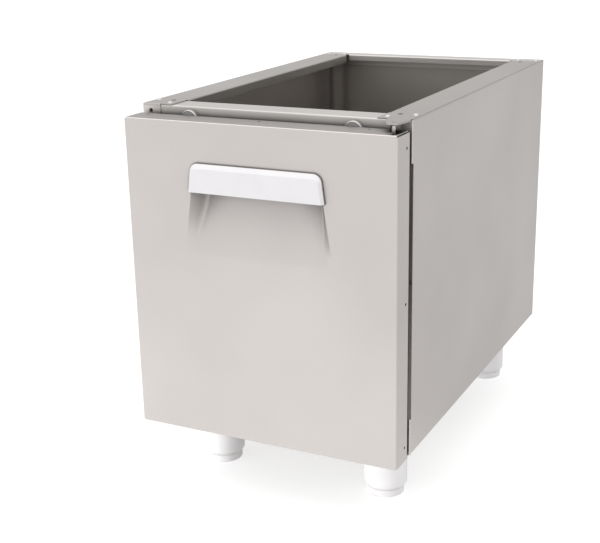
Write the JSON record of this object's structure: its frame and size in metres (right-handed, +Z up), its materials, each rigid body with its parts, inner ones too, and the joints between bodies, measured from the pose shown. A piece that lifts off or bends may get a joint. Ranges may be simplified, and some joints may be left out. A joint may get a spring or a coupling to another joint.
{
  "type": "under-counter cabinet",
  "caption": "Stainless under-counter base cabinet with an open top, a right-hinged lift-off door with a pressed grip recess, magnetic catches and height-adjustable round feet.",
  "frame": {"origin": "on the floor under the middle of the whole object's box, with the feet screwed fully in and the door shut", "axes": "+Z up, -Y towards the door, +X to the right of someone who faces the door, which is the hinge side"},
  "size_m": [0.4, 0.674, 0.5615],
  "materials": {
    "stainless_side": "fine brushed stainless, satin",
    "stainless_rail": "fine brushed stainless, satin",
    "stainless_inside": "mill-finish stainless, satin",
    "stainless_base": "mill-finish stainless, satin",
    "stainless_door": "fine brushed stainless, satin",
    "stainless_door_inner": "fine brushed stainless, satin",
    "zinc_plate": "zinc-plated steel, dull",
    "bright_pin": "turned stainless, bright",
    "magnet_cup": "nickel-plated steel, bright",
    "magnet": "sintered magnet, satin blue-grey",
    "foot_sleeve": "moulded plastic, satin white",
    "foot_insert": "moulded plastic, satin white",
    "dome_screws": "polished stainless dome heads",
    "inner_screws": "zinc-plated steel",
    "bush": "natural nylon",
    "gasket": "soft dark grey foam rubber",
    "hood": "moulded plastic, soft gloss white"
  },
  "bodies": {
    "cabinet": {"side_panel_left": "stainless_side", "side_panel_right": "stainless_side", "side_rail_left": "stainless_rail", "side_rail_right": "stainless_rail", "front_rail": "stainless_rail", "rear_rail": "stainless_rail", "back_panel": "stainless_inside", "floor_panel": "stainless_inside", "base_channel_front": "stainless_base", "base_channel_rear": "stainless_base", "hinge_doubler_top": "stainless_rail", "hinge_pin_top": "bright_pin", "hinge_bracket_bottom": "stainless_base", "hinge_pin_bottom": "bright_pin", "magnet_cup_left": "magnet_cup", "magnet_cup_right": "magnet_cup", "magnet_left": "magnet", "magnet_right": "magnet", "magnet_studs": "inner_screws", "foot_sleeve_front_left": "foot_sleeve", "foot_sleeve_front_right": "foot_sleeve", "foot_sleeve_rear_left": "foot_sleeve", "foot_sleeve_rear_right": "foot_sleeve", "rail_screws": "dome_screws", "foot_screws": "inner_screws", "hinge_screws": "inner_screws"},
    "door": {"door_skin": "stainless_door", "door_inner_panel": "stainless_door_inner", "door_hinge_plate_top": "zinc_plate", "door_hinge_plate_bottom": "zinc_plate", "hinge_bush_top": "bush", "hinge_bush_bottom": "bush", "strike_plates": "zinc_plate", "handle_gasket": "gasket", "handle_hood": "hood", "handle_screws": "inner_screws"},
    "foot_front_left": {"foot_insert_front_left": "foot_insert"},
    "foot_front_right": {"foot_insert_front_right": "foot_insert"},
    "foot_rear_left": {"foot_insert_rear_left": "foot_insert"},
    "foot_rear_right": {"foot_insert_rear_right": "foot_insert"}
  },
  "joints": [
    {"name": "door_hinge", "type": "hinge", "parent": "cabinet", "child": "door", "pos_m": [0.184, -0.3065, 0.32], "axis": [0, 0, 1], "range_deg": [0, 110]},
    {"name": "foot_front_left_adjust", "type": "slide", "parent": "cabinet", "child": "foot_front_left", "axis": [0, 0, -1], "range_m": [0, 0.03]},
    {"name": "foot_front_right_adjust", "type": "slide", "parent": "cabinet", "child": "foot_front_right", "axis": [0, 0, -1], "range_m": [0, 0.03]},
    {"name": "foot_rear_left_adjust", "type": "slide", "parent": "cabinet", "child": "foot_rear_left", "axis": [0, 0, -1], "range_m": [0, 0.03]},
    {"name": "foot_rear_right_adjust", "type": "slide", "parent": "cabinet", "child": "foot_rear_right", "axis": [0, 0, -1], "range_m": [0, 0.03]}
  ]
}
